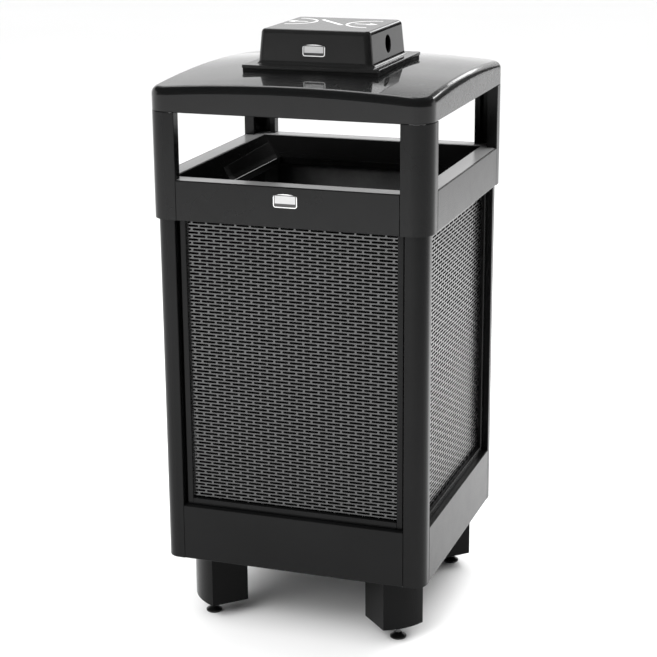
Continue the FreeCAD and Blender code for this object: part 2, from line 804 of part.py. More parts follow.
def lid_dome(name, inset, low, corner_radius, edge_radius):
    """A square prism with round corners under a sphere's crown, both moved in by inset, with a rounded top edge."""
    half = f"(lid_half - {inset})"
    prism = square_box(name + "_prism", half, low, "lid_apex + margin")
    rounded = part_fillet(name + "_corners", prism, corner_radius, is_upright)
    crown = doc.addObject("Part::Sphere", name + "_crown")
    bind(crown, "Radius", f"lid_sphere - {inset}")
    bind(crown, "Placement.Base.z", "lid_apex - lid_sphere")
    dome = common(name, rounded, crown)
    crown_edge = (size("window_top") + size("lid_apex")) / 2 - size("lid_edge_round")
    return part_fillet(name + "_edge", dome, edge_radius,
                       lambda edge: min(vertex.Point.z for vertex in edge.Vertexes) > crown_edge)


def dome_lid():
    """The lid: crowned top, upright edge and the ash urn's opening. Returns the solid that its outside bounds."""
    outside = lid_dome("lid_outside", "0", "window_top", "lid_radius", "lid_edge_round")
    inside = lid_dome("lid_inside", "lid_wall", "window_top - 1", "lid_inner_radius", "lid_inner_edge_round")
    shell = cut("lid_shell", outside, inside)
    opening = square_box("lid_opening", "urn_hole_half", "window_top", "lid_apex + margin")
    node(cut("lid_pierced", shell, opening), "dome_lid")
    return outside


def badge(label, width, height, centre, tilt):
    """A blank badge: a rounded rectangle whose top edge is an arc."""
    rise = f"({height}) * badge_crown"
    block = box(label + "_block", (f"-({width}) / 2", "0", f"-({height}) / 2"),
                (f"({width}) / 2", "badge_thick", f"({height}) / 2"))
    arc = f"((({width}) * ({width}) / 4 + ({rise}) * ({rise})) / (2 * ({rise})))"
    round_top = cylinder(label + "_arc", ("0", "badge_thick + 1", f"({height}) / 2 - {arc}"), arc,
                         "badge_thick + 2", FreeCAD.Vector(0, -1, 0))
    outline_solid = common(label + "_outline", block, round_top)
    rounded = part_fillet(label, outline_solid, "badge_round", runs_through_badge)
    rounded.Placement = FreeCAD.Placement(centre, FreeCAD.Rotation(FreeCAD.Vector(1, 0, 0), tilt))
    node(rounded, label)


def runs_through_badge(edge):
    """Accepts the four short edges that run through a badge's thickness."""
    return len(edge.Vertexes) == 2 and abs(edge.Vertexes[0].Y - edge.Vertexes[1].Y) > 0.5 * size("badge_thick")


# ---------------------------------------------------------------- hinge
def hinge_knuckles(name, parity, bore):
    """Every other knuckle of the continuous hinge, as barrels along X."""
    barrels = []
    pitch = f"(2 * hinge_half / {HINGE_KNUCKLES})"
    direction = SIDEWAYS
    for k in range(HINGE_KNUCKLES):
        if k % 2 == parity:
            start = f"{k} * {pitch} - hinge_half + hinge_gap / 2"
            barrel = cylinder(name + "_barrel", (start, "hinge_y", "hinge_z"), "hinge_barrel",
                              f"{pitch} - hinge_gap", direction)
            hole = cylinder(name + "_bore", (f"{start} - 1", "hinge_y", "hinge_z"), bore, f"{pitch} + 2", direction)
            barrels.append((barrel, hole))
    return barrels


def hinge_leaf(name, parity, bore, leaf_low, leaf_high, plate_low, plate_high, screw_z):
    """A leaf: a plate on the wall with screw holes, and knuckles that reach the pin from one edge of it."""
    pitch = f"(2 * hinge_half / {HINGE_KNUCKLES})"
    plate = box(name + "_plate", ("-hinge_half", leaf_low, plate_low), ("hinge_half", leaf_high, plate_high))
    solids = [plate]
    holes = []
    for k, (barrel, hole) in zip([k for k in range(HINGE_KNUCKLES) if k % 2 == parity],
                                 hinge_knuckles(name, parity, bore)):
        start = f"{k} * {pitch} - hinge_half + hinge_gap / 2"
        tongue_low, tongue_high = ("hinge_z", plate_low) if parity == 0 else (plate_high, "hinge_z")
        tongue = box(name + "_tongue", (start, leaf_low, tongue_low),
                     (f"{start} + {pitch} - hinge_gap", leaf_high, tongue_high))
        solids += [barrel, tongue]
        holes.append(hole)
    for x in HINGE_SCREWS:
        holes.append(cylinder(name + "_screw_hole", (str(x), f"{leaf_low} - margin", screw_z),
                              "screw_head_radius + screw_gap", "hinge_leaf + 2 * margin", BACKWARDS))
    leaf = cut(name, fused(name + "_solid", *solids), fused(name + "_bores", *holes))
    node(leaf, name)


def hinge():
    """The continuous hinge: the cabinet's leaf, the hood's leaf and the pin."""
    reach = "(hinge_barrel + hinge_gap + 0.3)"
    hinge_leaf("hinge_leaf_cabinet", 1, "hinge_pin_radius", "cabinet_half", "cabinet_half + hinge_leaf",
               "hinge_z - hinge_leaf_height", f"hinge_z - {reach}", CABINET_SCREW_HEIGHT)
    hinge_leaf("hinge_leaf_hood", 0, "hinge_pin_radius + hinge_clearance", "hood_half",
               "hood_half + hinge_leaf", f"hinge_z + {reach}", "hinge_z + hinge_leaf_height",
               HOOD_SCREW_HEIGHT)
    pin = cylinder("hinge_pin", ("-hinge_half", "hinge_y", "hinge_z"), "hinge_pin_radius", "2 * hinge_half",
                   SIDEWAYS)
    node(pin, "hinge_pin")


def wall_screws(label, face, height):
    """Flat heads in the holes of a leaf, on the back of the bin."""
    heads = []
    for x in HINGE_SCREWS:
        body = new_body(label + "_head")
        seat = sketch_on(body, "XZ_Plane", f"-({face}) - screw_head_height")
        circle(seat, (str(x), height), "screw_head_radius")
        pad(body, seat, "screw_head_height")
        heads.append(body)
    group(label, heads)


# ---------------------------------------------------------------- ash urn
def urn_base(crown):
    """The rubber gasket, moulded to the lid's crown below, and the steel ring that the ash pan hangs from."""
    opening = square_box("gasket_opening", "urn_hole_half", "window_top", "urn_bottom + margin")
    gasket = box("gasket_block", ("-gasket_half_x", "-gasket_half_y", "urn_bottom - gasket_depth"),
                 ("gasket_half_x", "gasket_half_y", "urn_bottom"))
    node(cut("gasket_sheet", gasket, fused("gasket_tools", crown, opening)), "urn_gasket")
    body = new_body("urn_plate")
    plan = sketch_on(body, "XY_Plane", "urn_bottom")
    square(plan, "plate_half")
    pad(body, plan, "plate_thick")
    half = size("plate_half")
    body_fillet(body, "plate_corner", edges_along(2, [(half, half), (half, -half), (-half, half), (-half, -half)]))
    hole = sketch_on(body, "XY_Plane", "urn_bottom + plate_thick")
    square(hole, "urn_hole_half")
    pocket(body, hole, "plate_thick")
    node(body, "urn_base_plate")


def ash_pan():
    """The pan that catches ash and butts, hung by its flange from the ring."""
    top = "(urn_bottom + plate_thick)"
    flange = square_box("pan_flange", "ash_pan_flange", top, f"{top} + ash_pan_wall")
    tub = square_box("pan_tub", "ash_pan_half", f"{top} - ash_pan_depth", f"{top} + ash_pan_wall")
    inside = square_box("pan_inside", "ash_pan_half - ash_pan_wall", f"{top} - ash_pan_depth + ash_pan_wall",
                        f"{top} + ash_pan_wall + margin")
    node(cut("pan_sheet", fused("pan_outside", flange, tub), inside), "ash_pan")


def cover_outside():
    """The cover's outside: a flange, walls that lean in from it, and rounds along every edge between them."""
    seat = "(urn_bottom + flange_thick)"
    roof = f"({seat} + cover_height)"
    flange = box("cover_flange", ("-flange_half_x", "-flange_half_y", "urn_bottom"),
                 ("flange_half_x", "flange_half_y", seat))
    flange = part_fillet("cover_flange_corners", flange, "flange_corner", is_upright)
    walls = tapered_box("cover_walls", ("cover_half_x", "cover_half_y"),
                        ("cover_top_half_x", "cover_top_half_y"), seat, roof)
    walls = part_fillet("cover_wall_corners", walls, "cover_round", is_upright)
    seat_level = size("urn_bottom") + size("flange_thick")
    walls = part_fillet("cover_walls_rounded", walls, "cover_top_round",
                        level_edges_at(seat_level + size("cover_height")))
    outside = fused("cover_flanged", flange, walls)
    at_seat = level_edges_at(seat_level)
    foot_reach = (size("cover_half_x") + size("flange_half_x")) / 2

    def reach(edge):
        return max(max(abs(vertex.X), abs(vertex.Y)) for vertex in edge.Vertexes)

    outside = part_fillet("cover_foot", outside, "cover_foot_round",
                          lambda edge: at_seat(edge) and reach(edge) < foot_reach)
    return part_fillet("cover_rounded", outside, "edge_round",
                       lambda edge: at_seat(edge) and reach(edge) > foot_reach + size("cover_foot_round"))


def urn_cover():
    """The tapered cover over the ash pan, with a hole in each side for cigarettes."""
    roof = "(urn_bottom + flange_thick + cover_height)"
    inside = tapered_box("cover_inside", ("cover_half_x - cover_wall", "cover_half_y - cover_wall"),
                         ("cover_top_half_x - cover_wall", "cover_top_half_y - cover_wall"),
                         "urn_bottom - margin", f"{roof} - cover_wall")
    inside = part_fillet("cover_inside_round", inside, "cover_inner_round", is_upright)
    hole = cylinder("cover_holes", ("-cover_half_x - margin", "0", "urn_bottom + flange_thick + cover_hole_height"),
                    "cover_hole_radius", "2 * (cover_half_x + margin)", SIDEWAYS)
    node(cut("cover_shell", cover_outside(), fused("cover_tools", inside, hole)), "urn_cover")


def urn_screws():
    """Flat screw heads that hold the pan and the ring to the lid, inside the cover."""
    solids = []
    top = "(urn_bottom + plate_thick)"
    inset = "(ash_pan_flange - urn_screw_inset)"
    for x, y in (("-", "-"), ("", "-"), ("-", ""), ("", "")):
        spot = (f"{x}{inset}", f"{y}{inset}", f"{top} + ash_pan_wall")
        solids.append(cylinder("urn_screw", spot, "screw_head_radius", "screw_head_height"))
    group("urn_screws", solids)


def main():
    fill_sheet()
    for side, angle in SIDES:
        skirt(side, angle)
        panel_frame(side, angle)
        perforated_panel(side, angle)
        hood_band(side, angle)
    for corner, angle in CORNERS:
        corner_post(corner, angle)
        leg(corner, angle)
        levelling_foot(corner, angle)
        hood_post(corner, angle)
    base_pan()
    top_rim()
    hinge_rail()
    panel_rivets()
    leg_bolts()
    foot_nuts()
    liner()
    funnel()
    hood_top_frame()
    crown = dome_lid()
    hinge()
    wall_screws("hinge_screws_cabinet", "cabinet_half", CABINET_SCREW_HEIGHT)
    wall_screws("hinge_screws_hood", "hood_half", HOOD_SCREW_HEIGHT)
    urn_base(crown)
    ash_pan()
    urn_cover()
    urn_screws()
    badge("hood_badge", "hood_badge_width", "hood_badge_height",
          FreeCAD.Vector(0, -size("hood_half") - size("badge_thick"), size("hood_badge_z")), 0.0)
    seat = size("urn_bottom") + size("flange_thick")
    lean = math.atan2(size("cover_half_y") - size("cover_top_half_y"), size("cover_height"))
    face = size("cover_half_y") - math.tan(lean) * (size("urn_badge_z") - seat)
    badge("urn_badge", "urn_badge_width", "urn_badge_height",
          FreeCAD.Vector(0, -face - size("badge_thick") / math.cos(lean), size("urn_badge_z")), -math.degrees(lean))
    doc.recompute()
    write_nodes()


def write_nodes():
    """Stops on any failed object or solid, then writes one STEP file for each sub-part."""
    for item in doc.Objects:
        if "Invalid" in item.State or "Error" in item.State:
            raise SystemExit(f"{item.Name} has failed: {item.State}")
    for item in nodes:
        if item.Shape.isNull() or not item.Shape.isValid() or not item.Shape.Solids:
            raise SystemExit(f"{item.Label} is not a valid shape")
    os.makedirs("parts", exist_ok=True)
    for item in nodes:
        item.Shape.exportStep(f"parts/{item.Label}.step")
    print(len(nodes), "nodes,", sum(len(item.Shape.Solids) for item in nodes), "solids")


main()
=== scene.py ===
"""Ashtray bin: a square steel litter bin with slotted side panels and a tilting hood.

The hood has a window in each side, and an ash urn on its lid. Metres, +Z up, origin on the floor under the
middle of the bin; the front faces -Y and the right side +X.
"""
import json
import math

import bpy
from mathutils import Matrix, Vector


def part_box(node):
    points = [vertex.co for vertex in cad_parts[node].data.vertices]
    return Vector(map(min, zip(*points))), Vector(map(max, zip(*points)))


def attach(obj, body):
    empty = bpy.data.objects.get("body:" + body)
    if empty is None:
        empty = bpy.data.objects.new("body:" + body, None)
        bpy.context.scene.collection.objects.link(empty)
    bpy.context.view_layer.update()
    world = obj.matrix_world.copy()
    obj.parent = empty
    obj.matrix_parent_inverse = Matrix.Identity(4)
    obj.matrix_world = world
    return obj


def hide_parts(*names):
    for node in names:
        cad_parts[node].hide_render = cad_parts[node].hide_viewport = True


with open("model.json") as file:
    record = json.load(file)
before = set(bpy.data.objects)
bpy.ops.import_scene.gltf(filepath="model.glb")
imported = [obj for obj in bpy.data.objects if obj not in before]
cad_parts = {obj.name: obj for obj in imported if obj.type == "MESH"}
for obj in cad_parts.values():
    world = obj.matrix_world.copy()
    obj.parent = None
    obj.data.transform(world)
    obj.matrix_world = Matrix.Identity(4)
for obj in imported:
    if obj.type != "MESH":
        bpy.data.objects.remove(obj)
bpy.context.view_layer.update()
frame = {"nodes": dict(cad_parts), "record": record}
BODY_OF = {node: body for body, nodes in frame["record"]["behaviour"]["bodies"].items() for node in nodes}
SIDES = ("front", "right", "back", "left")
CORNERS = ("front_right", "back_right", "back_left", "front_left")

# the camera: degrees from straight ahead towards the right side, up, and of tilt; then metres and millimetres
CAMERA_AZIMUTH, CAMERA_ELEVATION, CAMERA_ROLL = 19.163, 16.240, -0.406
CAMERA_TARGET, CAMERA_DISTANCE = Vector((-0.011284, 0.0, 0.480341)), 3.112151
CAMERA_LENS, SENSOR_WIDTH = 98.32674, 36.0

# the funnel: its level sills, which carry a painted highlight, and the fold where its slopes meet the upright
# lip round the throat
SILL_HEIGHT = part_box("funnel")[1].z
FOLD_HEIGHT = SILL_HEIGHT - 0.030

# the liner's walls, where the painted light inside begins: from the edge of the rim in to the middle of their
# thickness, and their lean by height
LINER_WALL_INSET = 0.0058
LINER_LEAN = 0.0067

# badges: the corner's radius, and how far in from the edge the bright rim and then the dark line end
BADGE_CORNER = 0.004
BADGE_RIM = 0.0014
BADGE_LINE = 0.0028
BADGE_FADE = 0.0001          # half the width of each change of colour
BADGE_RINGS = 0.005          # the depth that the ring colours are laid out over

# the sign on the urn's top: strokes (from, to, half width) and half circles (centre, radius, side kept)
SIGN_STROKES = (
    ((-0.034, 0.052), (0.017, -0.007), 0.0034),
    ((-0.053, 0.022), (-0.084, 0.022), 0.0022),
    ((-0.084, 0.022), (-0.073, 0.030), 0.0020),
    ((-0.084, 0.022), (-0.073, 0.014), 0.0020),
    ((0.036, 0.012), (0.072, 0.010), 0.0022),
    ((0.072, 0.010), (0.060, 0.019), 0.0020),
    ((0.072, 0.010), (0.059, 0.003), 0.0020),
)
SIGN_ARCS = (
    ((-0.079, 0.024), 0.041, 1.0),
    ((0.069, 0.012), 0.046, -1.0),
)
SIGN_ARC_HALF_WIDTH = 0.0020

# the perforated sheets: slots in rows, each row half a pitch on from the last
SLOT_PITCH = 0.0254
SLOT_LENGTH = 0.0228
SLOT_HEIGHT = 0.0037
ROW_PITCH = 0.00573
SHEET_MARGIN = 0.0062        # plain sheet left beside the outermost slots
SHORTEST_SLOT = 1.1          # a cut-off slot shorter than this many end radii is left out
END_STEPS = 4                # straight pieces in a slot's rounded end

# the levelling feet's threads
THREAD_PITCH = 0.00125
THREAD_DEPTH = 0.0007
THREAD_FIT = 0.995           # the crests' radius, as a share of the plain CAD stem's
THREAD_STEPS = 6             # rings in each turn of the thread
THREAD_SIDES = 24

# what reflections see behind the bin: the highest brightness, and the brightness by degrees of elevation
SKY_TOP = 1.6
SKY_PROFILE = ((0, 1.6), (4.5, 1.25), (7.5, 1.18), (12.5, 1.3), (15, 1.2), (17.5, 1.12), (19.5, 0.9),
               (22, 0.2), (24, 0.03), (30, 0.02), (90, 0.02))
# the share of it that is left further round, from straight behind the bin at 0 to the camera's side at 1
SKY_ROUND = ((0.0, 1.0), (0.42, 1.0), (0.52, 0.05), (1.0, 0.03))
# soft boxes: azimuth from +Y towards +X, elevation and softness in degrees, then brightness
SKY_BOXES = (
    (-42, -17, 31, 54, 3, 2.5),
    (-4, 6, 15, 20, 1.5, 4.0),
    (9, 17, 20.5, 24, 1.5, 6.0),
)
SKY_FLAG = (12, 28, -6, 16, 2)      # a black card behind the bin on the right, in the same terms


# ---------------------------------------------------------------- camera
def make_camera():
    """The photograph's viewpoint: a long lens, in front and a little to the right, looking slightly down.

    Returns the level direction from the bin towards the camera.
    """
    azimuth, elevation = math.radians(CAMERA_AZIMUTH), math.radians(CAMERA_ELEVATION)
    roll = math.radians(CAMERA_ROLL)
    out = Vector((math.sin(azimuth) * math.cos(elevation), -math.cos(azimuth) * math.cos(elevation),
                  math.sin(elevation)))
    across = (-out).cross(Vector((0, 0, 1))).normalized()
    upward = across.cross(-out)
    right = math.cos(roll) * across + math.sin(roll) * upward
    above = -math.sin(roll) * across + math.cos(roll) * upward
    data = bpy.data.cameras.new("camera")
    data.sensor_width = SENSOR_WIDTH
    data.lens = CAMERA_LENS
    data.clip_start, data.clip_end = 0.05, 200.0
    camera = bpy.data.objects.new("camera", data)
    place = Matrix((right, above, out)).transposed().to_4x4()
    place.translation = CAMERA_TARGET + CAMERA_DISTANCE * out
    camera.matrix_world = place
    bpy.context.scene.collection.objects.link(camera)
    bpy.context.scene.camera = camera
    return Vector((out.x, out.y, 0)).normalized()


# ---------------------------------------------------------------- node trees
def grey(level, tint=0.0):
    """A neutral colour, with a little blue for tint above 0 and a little brown below."""
    return (level * (1 - tint), level, level * (1 + tint))


class Nodes:
    """A node tree, emptied, with short calls that add nodes to it."""

    def __init__(self, tree):
        self.tree = tree
        self.tree.nodes.clear()

    def add(self, kind, **settings):
        made = self.tree.nodes.new(kind)
        for key, value in settings.items():
            setattr(made, key, value)
        return made

    def link(self, out, into):
        self.tree.links.new(out, into)

    def feed(self, sockets, values):
        """Each value is linked to its socket if it is another node's output, and set on it otherwise."""
        for socket, value in zip(sockets, values):
            if isinstance(value, bpy.types.NodeSocket):
                self.link(value, socket)
            else:
                socket.default_value = value

    def math(self, operation, *values):
        made = self.add("ShaderNodeMath", operation=operation)
        self.feed(made.inputs, values)
        return made.outputs[0]

    def vector(self, operation, first, second, output="Vector"):
        made = self.add("ShaderNodeVectorMath", operation=operation)
        self.feed(made.inputs, (first, second))
        return made.outputs[output]

    def split(self, vector):
        made = self.add("ShaderNodeSeparateXYZ")
        self.link(vector, made.inputs["Vector"])
        return made.outputs

    def spread(self, value, low, high, from_low=0.3, from_high=0.7, **settings):
        """The value mapped from one range to another, and held at its ends."""
        made = self.add("ShaderNodeMapRange", **settings)
        self.feed((made.inputs[name] for name in ("Value", "From Min", "From Max", "To Min", "To Max")),
                  (value, from_low, from_high, low, high))
        return made.outputs["Result"]

    def colours(self, value, *stops):
        made = self.add("ShaderNodeValToRGB")
        elements = made.color_ramp.elements
        while len(elements) < len(stops):
            elements.new(0.5)
        for element, (place, colour) in zip(elements, stops):
            element.position = place
            element.color = (*colour, 1.0)
        self.link(value, made.inputs["Fac"])
        return made.outputs["Color"]


class Surface(Nodes):
    """A new material with one Principled shader, laid out in the object's own space."""

    def __init__(self, name):
        self.material = bpy.data.materials.new(name)
        self.material.use_nodes = True
        super().__init__(self.material.node_tree)
        self.shader = self.add("ShaderNodeBsdfPrincipled")
        output = self.add("ShaderNodeOutputMaterial")
        self.link(self.shader.outputs["BSDF"], output.inputs["Surface"])
        self.where = self.add("ShaderNodeTexCoord").outputs["Object"]

    def set(self, **values):
        """Numbers that are the same all over the surface."""
        for key, value in values.items():
            self.shader.inputs[key.replace("_", " ")].default_value = value

    def vary(self, **outputs):
        """Numbers or colours that change over the surface."""
        for key, output in outputs.items():
            self.link(output, self.shader.inputs[key.replace("_", " ")])

    def stretched(self, scale):
        mapping = self.add("ShaderNodeMapping")
        mapping.inputs["Scale"].default_value = scale
        self.link(self.where, mapping.inputs["Vector"])
        return mapping.outputs["Vector"]

    def noise(self, scale, detail=2.0, roughness=0.5, vector=None):
        made = self.add("ShaderNodeTexNoise")
        made.inputs["Scale"].default_value = scale
        made.inputs["Detail"].default_value = detail
        made.inputs["Roughness"].default_value = roughness
        self.link(vector or self.where, made.inputs["Vector"])
        return made.outputs["Fac"]

    def mix(self, amount, first, second, **settings):
        """A colour between two others, or with blend_type another blend of the two."""
        made = self.add("ShaderNodeMixRGB", **settings)
        opaque = [(*value, 1.0) if isinstance(value, tuple) else value for value in (first, second)]
        self.feed(made.inputs, (amount, *opaque))
        return made.outputs["Color"]

    def bump(self, height, distance, normal=None):
        made = self.add("ShaderNodeBump")
        made.inputs["Strength"].default_value = 1.0
        made.inputs["Distance"].default_value = distance
        self.link(height, made.inputs["Height"])
        if normal is not None:
            self.link(normal, made.inputs["Normal"])
        return made.outputs["Normal"]

    def reach(self):
        """How far out from the bin's upright axis a point is, square about it."""
        x, y, _ = self.split(self.where)
        return self.math("MAXIMUM", self.math("ABSOLUTE", x), self.math("ABSOLUTE", y))


# ---------------------------------------------------------------- materials
def powder_coat(name, level, rough, grain, specular=0.5, coat=0.0, coat_rough=0.05, coat_index=1.5):
    """Baked powder coat: fine orange peel, slightly uneven gloss, and a faint cloudiness in its black."""
    m = Surface(name)
    peel = m.bump(m.noise(420.0), grain)
    m.vary(Base_Color=m.colours(m.noise(7.0, 4.0, 0.6), (0.3, grey(level * 0.82, 0.01)),
                                (0.7, grey(level * 1.18, 0.02))),
           Roughness=m.spread(m.noise(38.0, 3.0, 0.55), rough * 0.88, rough * 1.12),
           Normal=m.bump(m.noise(900.0), grain * 0.4, peel))
    m.set(Specular_IOR_Level=specular, Coat_Weight=coat, Coat_Roughness=coat_rough, Coat_IOR=coat_index)
    return m.material


def brushed(name, level, rough, stretch):
    """Plated or stainless steel with fine drawing lines along one direction."""
    m = Surface(name)
    lines = m.noise(60.0, 6.0, 0.7, m.stretched(stretch))
    m.vary(Base_Color=m.colours(lines, (0.25, grey(level * 0.8, -0.01)), (0.75, grey(level * 1.15, 0.01))),
           Roughness=m.spread(m.noise(90.0, 4.0), rough * 0.8, rough * 1.3),
           Normal=m.bump(lines, 0.00004))
    m.set(Metallic=1.0)
    return m.material


def pierced_sheet(name, level, rough):
    """Satin coat on a perforated sheet's outer face. Its back and its slots' cut walls are painted shade,
    near black and without reflection, so the slots read as dark holes.
    """
    m = Surface(name)
    outer = -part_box("perforated_panel_front")[0].y
    unshaded_face = m.spread(m.reach(), 0.0, 1.0, outer - 0.0003, outer - 0.00005)
    cloud = m.colours(m.noise(60.0, 6.0, 0.7), (0.25, grey(level * 0.8, -0.01)),
                      (0.75, grey(level * 1.15, 0.01)))
    # painted shade: the back and the cut walls get a near-black, unmetallic copy of the sheet's colour that
    # reflects nothing
    m.vary(Base_Color=m.mix(unshaded_face, grey(level * 0.15), cloud),
           Metallic=unshaded_face,
           Roughness=m.spread(m.noise(90.0, 4.0), rough * 0.8, rough * 1.3),
           Coat_Weight=m.math("MULTIPLY", unshaded_face, 0.35),
           Normal=m.bump(m.noise(420.0), 0.00001))
    m.set(Specular_IOR_Level=0.0, Coat_Roughness=0.15, Coat_IOR=1.6)
    return m.material


def plastic(name, level, rough, pebble, specular=0.5):
    """Moulded plastic or rubber: an even pebble and a dull sheen with lighter scuffs."""
    m = Surface(name)
    m.vary(Base_Color=m.colours(m.noise(24.0, 6.0, 0.7), (0.35, grey(level * 0.85)),
                                (0.62, grey(level * 1.05)), (0.78, grey(level * 1.5))),
           Roughness=m.spread(m.noise(60.0, 3.0), rough * 0.85, rough * 1.15),
           Normal=m.bump(m.noise(650.0), pebble))
    m.set(Specular_IOR_Level=specular)
    return m.material


def tub_plastic(name):
    """The liner's moulded plastic: black outside, and painted light inside, a mottled light grey that stands
    for the light falling in through the hood.
    """
    low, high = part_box("liner")
    m = Surface(name)
    height = m.split(m.where)["Z"]
    wall = m.math("MULTIPLY_ADD", m.math("SUBTRACT", height, high.z), LINER_LEAN,
                  (high.x - low.x) / 2 - LINER_WALL_INSET)
    inner = m.spread(m.math("SUBTRACT", m.reach(), wall), 1.0, 0.0, -0.0022, -0.0012)
    painted_light_inside = m.colours(m.noise(24.0, 6.0, 0.7), (0.3, grey(0.20)), (0.7, grey(0.30)))
    # painted light: the inside is a mottled light grey, and the outside near black
    m.vary(Base_Color=m.mix(inner, grey(0.003), painted_light_inside),
           Roughness=m.spread(m.noise(60.0, 3.0), 0.40, 0.55),
           Normal=m.bump(m.noise(650.0), 0.00003))
    m.set(Specular_IOR_Level=0.03)
    return m.material


def sheet_funnel(name):
    """Black enamel: a painted highlight on the sills, light grey with a satin roughness; dark on the slopes,
    and glossy round the throat.
    """
    m = Surface(name)
    height = m.split(m.where)["Z"]
    sill_painted_highlight = m.spread(height, 0.0, 1.0, SILL_HEIGHT - 0.0015, SILL_HEIGHT - 0.0005)
    enamel = m.colours(m.noise(7.0, 4.0, 0.6), (0.3, grey(0.004)), (0.7, grey(0.006)))
    rough = m.math("MULTIPLY_ADD", sill_painted_highlight, 0.20, 0.03)
    fold = m.spread(height, 0.6, 0.03, FOLD_HEIGHT + 0.002, FOLD_HEIGHT + 0.006)
    # painted highlight: the sills' light grey stands for the bright reflection along them
    m.vary(Base_Color=m.mix(sill_painted_highlight, enamel, grey(0.27)),
           Roughness=m.math("MULTIPLY", rough, m.spread(m.noise(40.0, 3.0, 0.55), 0.9, 1.15)),
           Specular_IOR_Level=m.math("MAXIMUM", fold, m.math("MULTIPLY", sill_painted_highlight, 0.5)),
           Normal=m.bump(m.noise(420.0), 0.000002))
    m.set(Specular_IOR_Level=0.3)
    return m.material


def badge_plate(name, node):
    """A blank plate: a bright rim, a thin dark line inside it, a satin field and a dark bar near its foot."""
    low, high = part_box(node)
    middle, half = (low + high) / 2, (high - low) / 2
    m = Surface(name)
    x, _, z = m.split(m.where)
    across = m.math("SUBTRACT", m.math("ABSOLUTE", m.math("SUBTRACT", x, middle.x)), half.x - BADGE_CORNER)
    upward = m.math("SUBTRACT", m.math("ABSOLUTE", m.math("SUBTRACT", z, middle.z)), half.z - BADGE_CORNER)
    squares = [m.math("POWER", m.math("MAXIMUM", way, 0.0), 2.0) for way in (across, upward)]
    outside = m.math("SQRT", m.math("ADD", *squares))
    inside = m.math("MINIMUM", m.math("MAXIMUM", across, upward), 0.0)
    depth = m.math("SUBTRACT", BADGE_CORNER, m.math("ADD", outside, inside))
    rim, line, field = grey(0.88), grey(0.02), grey(0.50)
    rings = [(0.0, rim)]
    for edge, before, after in ((BADGE_RIM, rim, line), (BADGE_LINE, line, field)):
        rings += [((edge - BADGE_FADE) / BADGE_RINGS, before), ((edge + BADGE_FADE) / BADGE_RINGS, after)]
    plate = m.colours(m.math("DIVIDE", depth, BADGE_RINGS), *rings)
    bar = m.spread(m.math("SUBTRACT", z, middle.z), 1.0, 0.0, -0.42 * half.z, -0.36 * half.z)
    within = m.spread(depth, 0.0, 1.0, BADGE_LINE - 4 * BADGE_FADE, BADGE_LINE)
    printed = m.mix(m.math("MULTIPLY", bar, within), plate, grey(0.04))
    cloud = m.colours(m.noise(160.0, 3.0), (0.2, grey(0.94)), (0.8, grey(1.0)))
    m.vary(Base_Color=m.mix(1.0, printed, cloud, blend_type="MULTIPLY"),
           Roughness=m.spread(m.noise(90.0, 3.0), 0.30, 0.38),
           Normal=m.bump(m.noise(500.0), 0.000004))
    m.set(Specular_IOR_Level=0.6)
    return m.material


def distance_to_stroke(m, flat, start, end):
    """How far a point is from the line between two places on the urn's top."""
    start, end = Vector((*start, 0.0)), Vector((*end, 0.0))
    along = end - start
    passed = m.vector("DOT_PRODUCT", m.vector("SUBTRACT", flat, start), along, "Value")
    part = m.math("MINIMUM", m.math("MAXIMUM", m.math("DIVIDE", passed, along.length_squared), 0.0), 1.0)
    foot = m.add("ShaderNodeCombineXYZ")
    for axis in range(2):
        m.link(m.math("MULTIPLY_ADD", part, along[axis], start[axis]), foot.inputs[axis])
    return m.vector("DISTANCE", flat, foot.outputs[0], "Value")


def printed_urn(name):
    """Glossy black enamel, with a worn white sign on top: a cigarette between arrows that point away from it.

    Each arrow's tail is inside a half circle.
    """
    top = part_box("urn_cover")[1].z
    m = Surface(name)
    x, _, z = m.split(m.where)
    flat = m.vector("MULTIPLY", m.where, (1.0, 1.0, 0.0))
    gaps = [m.math("SUBTRACT", distance_to_stroke(m, flat, start, end), half_width)
            for start, end, half_width in SIGN_STROKES]
    for centre, radius, side in SIGN_ARCS:
        away = m.math("SUBTRACT", m.vector("DISTANCE", flat, (*centre, 0.0), "Value"), radius)
        gap = m.math("SUBTRACT", m.math("ABSOLUTE", away), SIGN_ARC_HALF_WIDTH)
        beyond = m.math("MULTIPLY", m.math("SUBTRACT", x, centre[0]), -side)
        gaps.append(m.math("MAXIMUM", gap, beyond))
    nearest = gaps[0]
    for gap in gaps[1:]:
        nearest = m.math("MINIMUM", nearest, gap)
    ink = m.spread(nearest, 1.0, 0.0, -0.0003, 0.0002)
    ink = m.math("MULTIPLY", ink, m.spread(z, 0.0, 1.0, top - 0.0006, top - 0.0003))
    ink = m.math("MULTIPLY", ink, m.spread(m.noise(260.0, 4.0, 0.7), 0.75, 1.0, 0.25, 0.42))
    enamel = m.colours(m.noise(7.0, 4.0, 0.6), (0.3, grey(0.010)), (0.7, grey(0.014)))
    rough = m.spread(m.noise(38.0, 3.0, 0.55), 0.11, 0.15)
    m.vary(Base_Color=m.mix(ink, enamel, grey(0.80)),
           Roughness=m.math("MULTIPLY_ADD", ink, 0.3, rough),
           Normal=m.bump(m.noise(420.0), 0.000006))
    m.set(Specular_IOR_Level=0.32)
    return m.material


